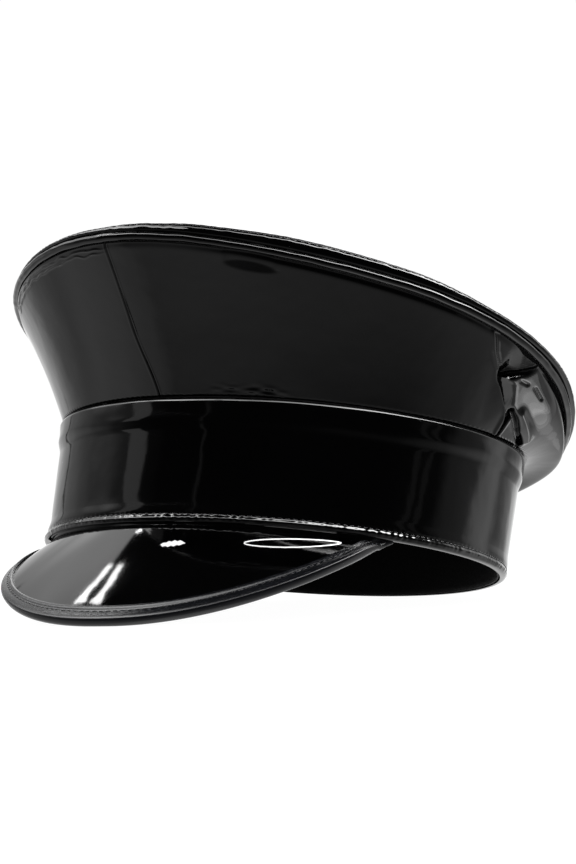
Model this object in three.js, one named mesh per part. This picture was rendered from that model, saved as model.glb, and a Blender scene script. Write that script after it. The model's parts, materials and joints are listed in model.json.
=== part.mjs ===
import * as THREE from 'three';
import { mergeVertices } from 'three/addons/utils/BufferGeometryUtils.js';

// Peaked captain hat, in millimetres and degrees.
// The hat is modelled in its own frame first: the origin is at the centre of
// the head opening, the peak points to -Y and the crown rises along +Z.
// Angles run round the hat from the centre front, 0, to the centre back, 180.

// Driving dimensions
const GAP = 0.3;
const STEPS = 72;
const headOpening = { halfLength: 103.8, halfWidth: 85.3 };
const bandTop = { halfLength: 101.7, halfWidth: 88.5, shiftBack: 6.7, height: 48 };
const rim = {
  halfLength: 134.1,
  halfWidth: 103.5,
  longerEnds: 1.7,
  fullerSides: 2.1,
  narrowerFront: 0.026,
  centreForward: 0.2,
  centreHeight: 74.2,
  tilt: 11.6,
  sidesRaised: 2.7,
  frontDropped: 1.3,
  cornersDropped: 1.2,
};
const peak = {
  halfAngle: 59.5,
  depth: 47.2,
  slopeFront: 60,
  slopeEnds: 35.6,
  forwardPull: 0.664,
  outlinePower: 2.307,
  outlineFall: 1.047,
  endCut: 0.985,
  wall: 2.2,
  bow: 1.5,
  insetUnderBand: 1.5,
  dropFront: 2.2,
  dropEnds: 2.9,
  steps: 32,
  rows: 7,
};
const binding = {
  wall: 0.9,
  leg: 7,
  cutEdge: { back: 0.5, drop: 0.3 },
  nose: { back: 1.3, cornerBack: 0.35, cornerUp: 0.6 },
  hollow: { back: 1.5, cornerBack: 1, cornerUp: 0.7 },
};
const piping = { radius: 1.6, out: 0.3, up: 1.9, sides: 8 };
const crownWall = { thickness: 1.5, atRim: 0.8, belowRim: 0.5, thinningPower: 6 };
const crownSeams = { side: 95, halfGap: 0.12, rows: 9, stepsPerQuarter: 19 };
const seamRise = GAP;
const bandWall = 2;
const sweatband = { bottom: 0.8, top: 30, wall: 1.2 };
const normalSteps = { angle: 0.5, share: 0.01, peak: 0.005 };
const tippingSearch = { steepest: 30, halvings: 40 };

// Band profile, from hem to crown seam: the folded hem, the plain middle, and
// the ridge where the crown's seam allowance is stitched down behind it.
const bandProfile = [
  { height: 0, proud: -0.3 },
  { height: 1.2, proud: 0.5 },
  { height: 4.8, proud: 0.6 },
  { height: 6.8, proud: 0 },
  { height: 38.4, proud: 0 },
  { height: 39.6, proud: 1.1 },
  { height: 46.6, proud: 1.3 },
  { height: 48, proud: 0.5 },
];

// How the crown's side wall stands off a straight line from band to rim, at a
// third and at two thirds of its height. The front is drawn slightly hollow,
// the side seam is pinched in, and the slack cloth behind it bags out.
const crownFolds = [
  { angle: 0, lowUp: 0, lowOut: -2.4, highUp: 0, highOut: -2.4 },
  { angle: 60, lowUp: 0, lowOut: -2, highUp: 0, highOut: -2 },
  { angle: 84, lowUp: 0, lowOut: -1, highUp: 0, highOut: -3 },
  { angle: 94, lowUp: 0, lowOut: 0, highUp: 0, highOut: -6 },
  { angle: 106, lowUp: 2, lowOut: 4, highUp: -2, highOut: 9 },
  { angle: 128, lowUp: 2, lowOut: 6, highUp: -5, highOut: 10 },
  { angle: 152, lowUp: 2, lowOut: 3, highUp: -9, highOut: 5 },
  { angle: 180, lowUp: 1.5, lowOut: 2, highUp: -12, highOut: 5 },
];

// The pinch at the side seam: a dent that is deepest high up, under the rim.
const pinch = { angle: 94, spread: 5, depth: 8, deepestAt: 0.75 };

// How far the piping and the crown top's edge hang out beyond the seam: flush
// round the front, and overhanging it where the cloth below is slack.
const rimLean = [
  { angle: 0, piping: 0, top: 0 },
  { angle: 76, piping: 0, top: 0 },
  { angle: 106, piping: 1.4, top: 2.9 },
  { angle: 180, piping: 1.4, top: 2.4 },
];

// Crown top, from its turned-down edge inwards: how far out of the rim line and
// how far up from it, then the share of the way in to the centre and the rise.
const topEdge = [
  { out: 0.9, up: 3.85 },
  { out: 1.6, up: 4.9 },
  { out: 1.4, up: 6 },
  { out: 0.3, up: 6.9 },
  { out: -3, up: 7.3 },
  { out: -7, up: 6.9 },
];
const topDome = [
  { inwards: 0.14, up: 7.8 },
  { inwards: 0.4, up: 10.2 },
  { inwards: 0.7, up: 11.8 },
  { inwards: 1, up: 12.2 },
];
const topWall = 2;

const radians = THREE.MathUtils.degToRad;

function mix(a, b, share) {
  return a.clone().lerp(b, share);
}

// The hat is the same on both sides, so tables give angles from 0 to 180 only.
function foldedAngle(angle) {
  return Math.abs(((angle + 180) % 360) - 180);
}

// The row of a table at an angle, eased from one row to the next.
function rowAt(table, angle) {
  const folded = foldedAngle(angle);
  const next = Math.max(1, table.findIndex((row) => row.angle >= folded - 1e-6));
  const before = table[next - 1];
  const after = table[next];
  const share = THREE.MathUtils.smoothstep(folded, before.angle, after.angle);
  const row = {};
  for (const key of Object.keys(before)) {
    row[key] = THREE.MathUtils.lerp(before[key], after[key], share);
  }
  return row;
}

// Joins closed sections of equal length into one solid. A section goes up the
// outer face and back down the inner one. Open runs get a cap at each end.
function solid(sections, closed) {
  const size = sections[0].length;
  const positions = sections.flat().flatMap((p) => [p.x, p.y, p.z]);
  const faces = [];
  const quad = (a, b, c, d) => faces.push(a, b, c, a, c, d);
  const last = closed ? sections.length : sections.length - 1;
  for (let i = 0; i < last; i += 1) {
    const here = i * size;
    const there = ((i + 1) % sections.length) * size;
    for (let j = 0; j < size; j += 1) {
      const k = (j + 1) % size;
      quad(here + j, there + j, there + k, here + k);
    }
  }
  if (!closed) {
    const end = (sections.length - 1) * size;
    for (let j = 0; j < size / 2 - 1; j += 1) {
      const back = size - 1 - j;
      quad(j, j + 1, back - 1, back);
      quad(end + back, end + back - 1, end + j + 1, end + j);
    }
  }
  return closedGeometry(positions, faces);
}

// Merges equal corners, drops faces that fell flat at a pole, and turns the
// faces outwards.
function closedGeometry(positions, faces) {
  const raw = new THREE.BufferGeometry();
  raw.setAttribute('position', new THREE.Float32BufferAttribute(positions, 3));
  raw.setIndex(faces);
  const merged = mergeVertices(raw, 1e-4);
  const corners = merged.getIndex().array;
  const points = merged.getAttribute('position');
  const kept = [];
  const a = new THREE.Vector3();
  const b = new THREE.Vector3();
  const c = new THREE.Vector3();
  let volume = 0;
  for (let i = 0; i < corners.length; i += 3) {
    const [p, q, r] = [corners[i], corners[i + 1], corners[i + 2]];
    if (p !== q && q !== r && r !== p) {
      kept.push(p, q, r);
      a.fromBufferAttribute(points, p);
      b.fromBufferAttribute(points, q);
      c.fromBufferAttribute(points, r);
      volume += a.dot(b.cross(c)) / 6;
    }
  }
  merged.setIndex(volume < 0 ? kept.reverse() : kept);
  merged.computeVertexNormals();
  return merged;
}

function mesh(name, geometry, material) {
  const made = new THREE.Mesh(geometry, material);
  made.name = name;
  return made;
}

// Angles of the sections that go once round the hat.
function roundAngles() {
  return Array.from({ length: STEPS }, (_, i) => (i * 360) / STEPS);
}

// Level direction straight out of the head oval.
function outward(angle) {
  const t = radians(angle);
  const x = Math.sin(t) / headOpening.halfWidth;
  const y = -Math.cos(t) / headOpening.halfLength;
  return new THREE.Vector3(x, y, 0).normalize();
}

// A point on the band's outer face, at a height, standing proud by a distance.
function bandPoint(angle, height, proud) {
  const t = radians(angle);
  const share = height / bandTop.height;
  const halfWidth = THREE.MathUtils.lerp(headOpening.halfWidth, bandTop.halfWidth, share);
  const halfLength = THREE.MathUtils.lerp(headOpening.halfLength, bandTop.halfLength, share);
  const base = new THREE.Vector3(
    halfWidth * Math.sin(t),
    bandTop.shiftBack * share - halfLength * Math.cos(t),
    height,
  );
  return base.addScaledVector(outward(angle), proud);
}

// The rim's plane: its upright direction, and the direction out of the oval.
const rimUp = new THREE.Vector3(0, Math.sin(radians(rim.tilt)), Math.cos(radians(rim.tilt)));

function tiltToRim(point) {
  return point.applyAxisAngle(new THREE.Vector3(1, 0, 0), -radians(rim.tilt));
}

function rimOut(angle) {
  const t = radians(angle);
  const x = Math.sin(t) / rim.halfWidth;
  const y = -Math.cos(t) / rim.halfLength;
  return tiltToRim(new THREE.Vector3(x, y, 0).normalize());
}

// The seam line where the side wall meets the crown top. Scaled by a share, the
// same oval shrinks to its centre and carries the top's slight saddle with it.
function rimPoint(angle, share = 1) {
  const t = radians(angle);
  const oval = rim.halfWidth * Math.sin(t) - rim.fullerSides * Math.sin(3 * t);
  const across = oval * (1 - rim.narrowerFront * Math.cos(t));
  const along = -rim.halfLength * Math.cos(t) - rim.longerEnds * Math.cos(3 * t);
  const saddle =
    rim.cornersDropped * Math.cos(4 * t) -
    rim.frontDropped * Math.cos(3 * t) -
    rim.sidesRaised * Math.cos(2 * t);
  const flat = new THREE.Vector3(across * share, along * share, saddle * share ** 2);
  return tiltToRim(flat).add(new THREE.Vector3(0, -rim.centreForward, rim.centreHeight));
}

// The crown's side wall, from the band seam at height share 0 to the rim at 1.
function sidePoint(angle, share) {
  const fold = rowAt(crownFolds, angle);
  const low = bandPoint(angle, bandTop.height, 0);
  low.z += seamRise;
  const high = rimPoint(angle).addScaledVector(rimUp, -crownWall.belowRim);
  const lowHandle = mix(low, high, 1 / 3).addScaledVector(outward(angle), fold.lowOut);
  lowHandle.z += fold.lowUp;
  const highHandle = mix(low, high, 2 / 3)
    .addScaledVector(rimOut(angle), fold.highOut)
    .addScaledVector(rimUp, fold.highUp);
  const wall = new THREE.CubicBezierCurve3(low, lowHandle, highHandle, high);
  const aside = (foldedAngle(angle) - pinch.angle) / pinch.spread;
  const swell = (height) => height ** 3 * (1 - height);
  const steepness = swell(share) / swell(pinch.deepestAt);
  const dent = pinch.depth * Math.exp(-(aside ** 2)) * steepness;
  return wall.getPoint(share).addScaledVector(outward(angle), -dent);
}

// Unit normal of a surface given as a function of two parameters.
function normalOf(surface, u, v, stepU, stepV) {
  const alongU = surface(u + stepU, v).sub(surface(u - stepU, v));
  const alongV = surface(u, v + stepV).sub(surface(u, v - stepV));
  return alongU.cross(alongV).normalize();
}

// A wall's closed section: its outer points, then its inner ones on the way back.
function wallSection(outer, inner) {
  return [...outer, ...inner.reverse()];
}

function bandGeometry() {
  const sections = roundAngles().map((angle) => {
    const outer = bandProfile.map((row) => bandPoint(angle, row.height, row.proud));
    const inner = [0, bandTop.height].map((height) => bandPoint(angle, height, -bandWall));
    return wallSection(outer, inner);
  });
  return solid(sections, true);
}

function sweatbandGeometry() {
  const outside = -bandWall - GAP;
  const heights = [sweatband.bottom, sweatband.top];
  const sections = roundAngles().map((angle) => {
    const outer = heights.map((height) => bandPoint(angle, height, outside));
    const inner = heights.map((height) => bandPoint(angle, height, outside - sweatband.wall));
    return wallSection(outer, inner);
  });
  return solid(sections, true);
}

// One crown quarter between two seams.
function quarterGeometry(from, to) {
  const sections = [];
  for (let i = 0; i <= crownSeams.stepsPerQuarter; i += 1) {
    const angle = THREE.MathUtils.lerp(from, to, i / crownSeams.stepsPerQuarter);
    const outer = [];
    const inner = [];
    for (let j = 0; j < crownSeams.rows; j += 1) {
      const share = j / (crownSeams.rows - 1);
      const point = sidePoint(angle, share);
      const normal = normalOf(sidePoint, angle, share, normalSteps.angle, normalSteps.share);
      const thinned = share ** crownWall.thinningPower;
      const thickness = THREE.MathUtils.lerp(crownWall.thickness, crownWall.atRim, thinned);
      outer.push(point);
      inner.push(point.clone().addScaledVector(normal, -thickness));
    }
    sections.push(wallSection(outer, inner));
  }
  return solid(sections, false);
}

function pipingGeometry() {
  const sections = roundAngles().map((angle) => {
    const out = rimOut(angle);
    const lean = rowAt(rimLean, angle).piping;
    const centre = rimPoint(angle)
      .addScaledVector(out, piping.out + lean)
      .addScaledVector(rimUp, piping.up);
    return Array.from({ length: piping.sides }, (_, i) => {
      const turn = ((i + 0.5) / piping.sides) * 2 * Math.PI;
      return centre
        .clone()
        .addScaledVector(out, piping.radius * Math.cos(turn))
        .addScaledVector(rimUp, piping.radius * Math.sin(turn));
    });
  });
  return solid(sections, true);
}

function crownTopGeometry() {
  const sections = roundAngles().map((angle) => {
    const out = rimOut(angle);
    const lean = rowAt(rimLean, angle).top;
    const edge = (row, inset, drop) =>
      rimPoint(angle)
        .addScaledVector(out, row.out + lean - inset)
        .addScaledVector(rimUp, row.up - drop);
    const dome = (row, drop) =>
      rimPoint(angle, 1 - row.inwards).addScaledVector(rimUp, row.up - drop);
    const foot = topEdge.at(0);
    const crest = topEdge.at(-2);
    const outer = [...topEdge.map((row) => edge(row, 0, 0)), ...topDome.map((row) => dome(row, 0))];
    const inner = [
      edge(foot, topWall, 0),
      edge(foot, topWall, -topWall / 2),
      edge(crest, 0, topWall),
      ...topDome.map((row) => dome(row, topWall)),
    ];
    return wallSection(outer, inner);
  });
  return solid(sections, true);
}

// The peak's inner line, just under the band's hem.
function peakInner(across) {
  const drop = THREE.MathUtils.lerp(peak.dropFront, peak.dropEnds, across ** 4);
  const angle = across * peak.halfAngle;
  const point = bandPoint(angle, 0, -peak.insetUnderBand);
  point.z = -drop;
  return point;
}

// The peak's outer edge, with across running from -1 to 1 between its ends.
function peakOuter(across) {
  const t = radians(across * peak.halfAngle);
  const width = peak.depth * (1 - Math.abs(across) ** peak.outlinePower) ** peak.outlineFall;
  const slope = radians(THREE.MathUtils.lerp(peak.slopeFront, peak.slopeEnds, across ** 2));
  const heading = new THREE.Vector3(
    (peak.forwardPull * Math.sin(t)) / headOpening.halfWidth,
    -Math.cos(t) / headOpening.halfLength,
    0,
  ).normalize();
  const point = bandPoint(across * peak.halfAngle, 0, 0);
  point.addScaledVector(heading, width * Math.cos(slope));
  point.z = -width * Math.sin(slope) - peak.dropEnds * (1 - width / peak.depth);
  return point;
}

// The peak's middle surface, from its inner line at share 0 to its edge at 1.
function peakPoint(across, share) {
  const inner = peakInner(across);
  const outer = peakOuter(across);
  const way = outer.clone().sub(inner);
  const level = new THREE.Vector3(way.x, way.y, 0);
  const lift = new THREE.Vector3(0, 0, level.length());
  lift.addScaledVector(level.normalize(), -way.z).normalize();
  const bow = peak.bow * (way.length() / peak.depth) * 4 * share * (1 - share);
  return mix(inner, outer, share).addScaledVector(lift, bow);
}

function peakNormal(across, share) {
  const normal = normalOf(peakPoint, across, share, normalSteps.peak, normalSteps.peak);
  return normal.z < 0 ? normal.negate() : normal;
}

// Places across the peak, closer together at its ends, where it turns in.
function peakPlaces() {
  return Array.from({ length: peak.steps + 1 }, (_, i) => {
    const even = (2 * i) / peak.steps - 1;
    return peak.endCut * Math.sin((even * Math.PI) / 2);
  });
}

function peakGeometry() {
  const short = binding.wall + GAP;
  const sections = peakPlaces().map((across) => {
    const length = peakOuter(across).distanceTo(peakInner(across));
    const reach = 1 - short / length;
    const outer = [];
    const inner = [];
    for (let j = 0; j < peak.rows; j += 1) {
      const share = (reach * j) / (peak.rows - 1);
      const point = peakPoint(across, share);
      const normal = peakNormal(across, share);
      outer.push(point.clone().addScaledVector(normal, peak.wall / 2));
      inner.push(point.clone().addScaledVector(normal, -peak.wall / 2));
    }
    return wallSection(outer, inner);
  });
  return solid(sections, false);
}

// The binding folded over the peak's edge, as a U that opens towards the head.
function bindingGeometry() {
  const inside = peak.wall / 2 + GAP;
  const outside = inside + binding.wall;
  const sections = peakPlaces().map((across) => {
    const length = peakOuter(across).distanceTo(peakInner(across));
    const leg = Math.min(binding.leg, length - GAP);
    const at = (back, up) => {
      const share = 1 - back / length;
      return peakPoint(across, share).addScaledVector(peakNormal(across, share), up);
    };
    const { cutEdge, nose, hollow } = binding;
    const outer = [
      at(leg, outside - cutEdge.drop),
      at(leg - cutEdge.back, outside),
      at(nose.back, outside),
      at(nose.cornerBack, outside * nose.cornerUp),
      at(0, 0),
      at(nose.cornerBack, -outside * nose.cornerUp),
      at(nose.back, -outside),
      at(leg, -outside),
    ];
    const inner = [
      at(leg, inside),
      at(leg - cutEdge.back, inside),
      at(hollow.back, inside),
      at(hollow.cornerBack, inside * hollow.cornerUp),
      at(binding.wall, 0),
      at(hollow.cornerBack, -inside * hollow.cornerUp),
      at(hollow.back, -inside),
      at(leg, -inside),
    ];
    return wallSection(outer, inner);
  });
  return solid(sections, false);
}

const patentVinyl = new THREE.MeshStandardMaterial({
  color: 0x0b0b0d,
  roughness: 0.12,
  metalness: 0,
});
const satinBinding = new THREE.MeshStandardMaterial({
  color: 0x1d1f23,
  roughness: 0.4,
  metalness: 0,
});
const sweatLeather = new THREE.MeshStandardMaterial({
  color: 0x141414,
  roughness: 0.6,
  metalness: 0,
});

const half = crownSeams.halfGap;
const side = crownSeams.side;
const hat = new THREE.Group();
hat.add(
  mesh('band', bandGeometry(), patentVinyl),
  mesh('sweatband', sweatbandGeometry(), sweatLeather),
  mesh('crown_front_right', quarterGeometry(half, side - half), patentVinyl),
  mesh('crown_back_right', quarterGeometry(side + half, 180 - half), patentVinyl),
  mesh('crown_back_left', quarterGeometry(180 + half, 360 - side - half), patentVinyl),
  mesh('crown_front_left', quarterGeometry(360 - side + half, 360 - half), patentVinyl),
  mesh('crown_piping', pipingGeometry(), patentVinyl),
  mesh('crown_top', crownTopGeometry(), patentVinyl),
  mesh('peak', peakGeometry(), patentVinyl),
  mesh('peak_binding', bindingGeometry(), satinBinding),
);

// Put down on a table, the hat stands on the front of its peak and on the back
// of its band. The pitch that brings both down to the same height is found by
// halving, and the hat is then set down on Z = 0 with its box centred.
function lowest(name, pitch) {
  const points = hat.getObjectByName(name).geometry.getAttribute('position');
  let low = Infinity;
  for (let i = 0; i < points.count; i += 1) {
    const height = points.getZ(i) * Math.cos(pitch) - points.getY(i) * Math.sin(pitch);
    low = Math.min(low, height);
  }
  return low;
}

function restingPitch() {
  let flat = 0;
  let steep = radians(tippingSearch.steepest);
  for (let i = 0; i < tippingSearch.halvings; i += 1) {
    const middle = (flat + steep) / 2;
    if (lowest('peak_binding', middle) < lowest('band', middle)) {
      flat = middle;
    } else {
      steep = middle;
    }
  }
  return (flat + steep) / 2;
}

hat.rotation.x = -restingPitch();
const part = new THREE.Group();
part.add(hat);
part.updateMatrixWorld(true);
const box = new THREE.Box3().setFromObject(hat, true);
const centre = box.getCenter(new THREE.Vector3());
hat.position.set(0, -centre.y, -box.min.z);
part.updateMatrixWorld(true);

export default part;
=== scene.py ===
import json
import math

import bmesh
import bpy
import numpy as np
from mathutils import Matrix, Vector


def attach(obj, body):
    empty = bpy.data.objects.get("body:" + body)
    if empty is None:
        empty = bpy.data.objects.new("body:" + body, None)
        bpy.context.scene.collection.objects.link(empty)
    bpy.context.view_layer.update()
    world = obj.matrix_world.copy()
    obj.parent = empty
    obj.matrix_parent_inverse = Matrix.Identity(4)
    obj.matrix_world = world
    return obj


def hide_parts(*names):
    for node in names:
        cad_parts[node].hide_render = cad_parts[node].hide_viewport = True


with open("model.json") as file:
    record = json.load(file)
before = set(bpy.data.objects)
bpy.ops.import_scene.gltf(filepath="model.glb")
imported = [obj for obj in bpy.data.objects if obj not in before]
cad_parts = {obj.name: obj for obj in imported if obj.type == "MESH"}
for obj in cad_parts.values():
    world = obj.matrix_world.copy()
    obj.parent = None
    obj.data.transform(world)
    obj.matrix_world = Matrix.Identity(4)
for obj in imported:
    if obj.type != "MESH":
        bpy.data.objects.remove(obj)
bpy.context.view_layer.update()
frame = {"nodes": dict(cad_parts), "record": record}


# How the hat stands
# The hat is drawn in a frame of its own, in millimetres: the origin is at the centre of the head opening,
# the peak points to -Y and the crown rises along +Z. Angles run round it from the centre front, 0, to the
# centre back, 180. It rests tipped back, by the pitch of the band's lower edge that the record gives.
MM = 0.001
mount_axis = frame["record"]["mounts"][0]["axis"]
resting_pitch = math.atan2(-mount_axis[1], -mount_axis[2])
hat_turn = np.array(Matrix.Rotation(-resting_pitch, 3, "X"))


def hem_centre():
    """The centre of the band's lower edge, in millimetres and before the hat is tipped back."""
    corners = np.array([v.co for v in frame["nodes"]["band"].data.vertices]) / MM
    level = corners @ hat_turn
    lowest = level[:, 2].min()
    hem = level[level[:, 2] < lowest + 0.05]
    return np.array([0, (hem[:, 1].min() + hem[:, 1].max()) / 2, lowest])


hat_origin = hem_centre()


def in_place(points):
    """Points of the hat's own frame, put where they are in the standing hat, in metres."""
    return (np.asarray(points) + hat_origin) @ hat_turn.T * MM


def in_place_direction(directions):
    return np.asarray(directions) @ hat_turn.T


# Band
# A stiffened upright wall of patent vinyl round the head, joined at the back. Its lower edge is turned up
# and topstitched, and a ridge round its top is the crown's seam allowance lying behind it.
opening = {"half_length": 103.8, "half_width": 85.3}
band_top = {"half_length": 101.7, "half_width": 88.5, "shift_back": 6.7, "height": 48.0}
band_wall = 2.0
band_columns = 1400
hem_stitch_height = 3.2
hem_stitch_out = 0.08
stitch_spacing = 2.8

# height up the band, and how far the cloth stands proud of its plain wall
band_relief = np.array([
    (0.0, -0.9),
    (0.45, 0.1),
    (1.7, 0.55),
    (3.2, 0.1),
    (4.6, 0.3),
    (9.0, 0.0),
    (35.5, 0.0),
    (41.0, 1.1),
    (47.0, 1.15),
    (47.7, 0.95),
    (48.0, 0.4),
])

# how far the lower edge flares out beside the peak: round which angle, how wide and how high up it goes
hem_flare = {"angle": -66, "spread": 20, "out": 2.4, "height": 8.0}

# where the hem is crinkled between its stitches: from and to which angle
hem_crinkles = [(5, 26), (57, 67)]


def vectors(x, y, z):
    return np.stack(np.broadcast_arrays(x, y, z), axis=-1).astype(float)


def unit(v):
    return v / np.linalg.norm(v, axis=-1, keepdims=True)


def smoothstep(low, high, value):
    share = np.clip((value - low) / (high - low), 0, 1)
    return share * share * (3 - 2 * share)


def eased(table, value):
    """The columns of a table at a value of its first column, eased from one row to the next."""
    value = np.clip(value, table[0, 0], table[-1, 0])
    after = np.clip(np.searchsorted(table[:, 0], value), 1, len(table) - 1)
    before = after - 1
    share = smoothstep(table[before, 0], table[after, 0], value)[..., None]
    return table[before, 1:] * (1 - share) + table[after, 1:] * share


def outward(angle):
    """Level direction straight out of the head oval."""
    t = np.radians(angle)
    return unit(vectors(np.sin(t) / opening["half_width"], -np.cos(t) / opening["half_length"], 0))


def band_point(angle, height, proud=0.0):
    t = np.radians(angle)
    share = height / band_top["height"]
    half_width = opening["half_width"] + (band_top["half_width"] - opening["half_width"]) * share
    half_length = opening["half_length"] + (band_top["half_length"] - opening["half_length"]) * share
    back = band_top["shift_back"] * share
    wall = vectors(half_width * np.sin(t), back - half_length * np.cos(t), height)
    return wall + outward(angle) * np.asarray(proud)[..., None]


def uneven(angle, seed, slowest, fastest, waves=7):
    """A number that wanders between about -1 and 1 round the hat, by a few waves of seeded phase."""
    rng = np.random.default_rng(seed)
    turns = np.unique(np.geomspace(slowest, fastest, waves).round())
    phases = rng.uniform(0, 2 * np.pi, len(turns))
    total = sum(np.sin(np.radians(angle) * n + phase) for n, phase in zip(turns, phases))
    return total / np.sqrt(2 * len(turns)) * 1.2


def wrinkled(angle, height, seed, turns, spans, waves=10):
    """Irregular wrinkles between about -1 and 1, made of waves that cross each other at a slant: so many of
    them round the hat, and so many millimetres apart up the wall."""
    rng = np.random.default_rng(seed)
    total = 0
    for _ in range(waves):
        round_hat = rng.integers(*turns)
        up_wall = rng.choice([-1, 1]) * 2 * np.pi / rng.uniform(*spans)
        total = total + np.sin(np.radians(angle) * round_hat + height * up_wall + rng.uniform(0, 2 * np.pi))
    return total / np.sqrt(2 * waves) * 1.2


def within(value, start, end, soft):
    """1 between start and end, and 0 outside, with so soft an edge."""
    return smoothstep(start - soft, start + soft, value) * smoothstep(end + soft, end - soft, value)


def hump(value, middle, reach):
    """1 at the middle value, and falling off to 0 on both sides."""
    return np.exp(-(((value - middle) / reach) ** 2))


def turned_angle(angle):
    """An angle from -180 to 180, so that the front is in its middle."""
    return (np.asarray(angle, float) + 180) % 360 - 180


def new_object(name, data):
    piece = bpy.data.objects.new(name, data)
    bpy.context.scene.collection.objects.link(piece)
    return piece


def grid_faces(columns, rows, round_columns, round_rows):
    """The four corners of each face of a grid of points. It may close round its columns or its rows."""
    i = np.arange(columns if round_columns else columns - 1)[:, None]
    j = np.arange(rows if round_rows else rows - 1)[None, :]
    k, m = (i + 1) % columns, (j + 1) % rows
    return np.stack([i * rows + j, k * rows + j, k * rows + m, i * rows + m], -1).reshape(-1, 4)


def loft(name, sections, closed, outer_rows):
    """A closed skin through sections of points, each going up the outer face and back down the inner one.
    It gets a UV map in metres: along the sections, and round each one. The inner faces are its finish 1."""
    count, size = sections.shape[:2]
    strips = count if closed else count - 1
    quads = grid_faces(count, size, closed, True)
    faces = quads.tolist()
    for j in range(0 if closed else size // 2 - 1):
        back = size - 1 - j
        end = (count - 1) * size
        faces.append([j, j + 1, back - 1, back])
        faces.append([end + back, end + back - 1, end + j + 1, end + j])
    corners = in_place(sections.reshape(-1, 3))
    a, b, c, d = (corners[quads[:, k]] for k in range(4))
    inside_out = (a * np.cross(b, c)).sum() + (a * np.cross(c, d)).sum() < 0
    if inside_out:
        faces = [face[::-1] for face in faces]
    mesh = bpy.data.meshes.new(name)
    mesh.from_pydata(corners.tolist(), [], faces)
    along = np.linalg.norm(np.diff(sections, axis=0, append=sections[:1]), axis=-1).mean(axis=1)
    across = np.linalg.norm(np.diff(sections, axis=1, append=sections[:, :1]), axis=-1).mean(axis=0)
    u = np.append(0, np.cumsum(along)) * MM
    v = np.append(0, np.cumsum(across)) * MM
    corner_u = u[np.arange(strips)[:, None, None] + [0, 1, 1, 0]]
    corner_v = v[np.arange(size)[None, :, None] + [0, 0, 1, 1]]
    flat = np.stack(np.broadcast_arrays(corner_u, corner_v), -1).reshape(-1, 4, 2)
    if inside_out:
        flat = flat[:, ::-1]
    uv = np.zeros((len(mesh.loops), 2))
    uv[: len(quads) * 4] = flat.reshape(-1, 2)
    mesh.uv_layers.new(name="cloth").data.foreach_set("uv", uv.ravel())
    side = np.zeros(len(mesh.polygons), dtype=np.int32)
    inner_rows = (np.arange(size) >= outer_rows) & (np.arange(size) < size - 1)
    side[: strips * size] = np.tile(inner_rows, strips)
    mesh.polygons.foreach_set("material_index", side)
    mesh.shade_smooth()
    mesh.set_sharp_from_angle(angle=math.radians(60))
    return new_object(name, mesh)


def walled_loft(name, outer, inner, closed):
    """A wall between its outer points and its inner ones, both given from the bottom up."""
    return loft(name, np.concatenate([outer, inner[:, ::-1]], axis=1), closed, outer.shape[1])


def full_turn(columns):
    return np.linspace(0, 360, columns, endpoint=False)[:, None]


def band_surface(angle, height):
    """The band's outer face, with the puffs of the hem between its stitches and the wander of the ridge."""
    front = turned_angle(angle)
    arc = np.radians(angle) * (opening["half_length"] + opening["half_width"]) / 2
    wander = 0.6 * uneven(angle, 3, 2, 9)
    lifted = height + wander * smoothstep(26, 38, height) * smoothstep(46, 42, height)
    proud = eased(band_relief, lifted)[..., 0]
    puffs = 0.08 * uneven(angle, 11, 20, 90) + 0.06 * uneven(angle, 12, 90, 260)
    proud = proud + hump(height, 1.8, 1.1) * puffs
    flare = hump(front, hem_flare["angle"], hem_flare["spread"]) * smoothstep(hem_flare["height"], 0, height)
    proud = proud + hem_flare["out"] * flare
    for start, end in hem_crinkles:
        creased = within(front, start, end, 2.5) * hump(height, 2.3, 1.3)
        proud = proud + creased * (0.12 + 0.16 * wrinkled(angle, height, 13, (90, 230), (3, 9)))
    at_stitches = 0.5 + 0.5 * np.cos(2 * np.pi * arc / stitch_spacing)
    proud = proud - 0.06 * hump(height, hem_stitch_height, 0.9) * at_stitches
    ridge = smoothstep(38, 41, height) * smoothstep(47.8, 46.5, height)
    proud = proud + ridge * 0.075 * wrinkled(angle, height, 21, (3, 22), (6, 14))
    middle = smoothstep(5, 14, height) * smoothstep(42, 32, height)
    proud = proud + middle * 0.11 * uneven(angle + height * 0.35, 31, 5, 17)
    return band_point(angle, height, proud)


def band_mesh():
    angle = full_turn(band_columns)
    hem, wall, ridge = np.linspace(0, 8, 24), np.linspace(8, 35, 10), np.linspace(35, band_top["height"], 24)
    outer = band_surface(angle, np.concatenate([hem, wall[1:], ridge[1:]])[None, :])
    inner_heights = np.linspace(0, band_top["height"], 8)[None, :]
    inner = band_point(angle, inner_heights, 0 * inner_heights - band_wall)
    return walled_loft("band_vinyl", outer, inner, True)


def tuned(node, **sockets):
    """Sets a node's unlinked inputs by name."""
    for name, value in sockets.items():
        node.inputs[name.replace("_", " ")].default_value = value
    return node


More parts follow.
